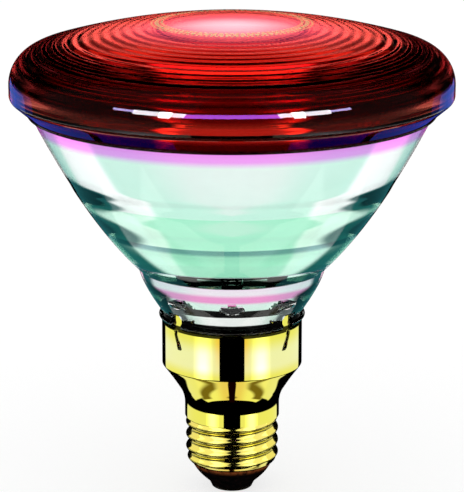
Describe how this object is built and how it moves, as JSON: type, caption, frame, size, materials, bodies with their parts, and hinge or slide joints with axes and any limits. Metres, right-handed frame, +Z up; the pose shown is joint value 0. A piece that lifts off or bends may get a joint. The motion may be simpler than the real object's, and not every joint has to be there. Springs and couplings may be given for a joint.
{
  "type": "infrared heat lamp",
  "caption": "Sealed reflector heat lamp: ruby fluted lens on a stepped pressed-glass bowl with an aluminised lining, and a skirted screw cap that carries it in a lampholder.",
  "frame": {"origin": "middle of the centre contact's face, on the lamp's axis", "axes": "+Z up the lamp's axis from the contact to the lens; +X and +Y square to it, with the two lead posts on X"},
  "size_m": [0.1224, 0.1224, 0.1349],
  "materials": {
    "ruby_glass": "polished",
    "weld_glass": "polished",
    "clear_glass": "polished",
    "mirror_aluminium": "polished",
    "tungsten": "satin",
    "molybdenum": "satin",
    "nickel": "satin",
    "ferrule_alloy": "satin",
    "bridge_glass": "polished",
    "skirt_brass": "polished",
    "shell_brass": "polished",
    "contact_brass": "satin",
    "black_glass": "polished",
    "solder": "satin",
    "lead_copper": "satin",
    "fibre_sleeve": "matte",
    "weld_metal": "matte"
  },
  "bodies": {
    "root": {"lens": "ruby_glass", "rim_weld": "weld_glass", "reflector_bowl": "clear_glass", "mirror_lining": "mirror_aluminium", "filament": "tungsten", "filament_supports": "molybdenum", "filament_bridge": "bridge_glass", "lead_post_left": "nickel", "lead_post_right": "nickel", "ferrule_left": "ferrule_alloy", "ferrule_right": "ferrule_alloy", "exhaust_tube": "clear_glass", "cap_skirt": "skirt_brass", "screw_shell": "shell_brass", "insulator": "black_glass", "centre_contact": "contact_brass", "contact_solder": "solder", "centre_lead": "lead_copper", "lead_sleeve": "fibre_sleeve", "side_lead": "lead_copper", "fuse_tube": "clear_glass", "side_weld": "weld_metal"}
  },
  "joints": []
}
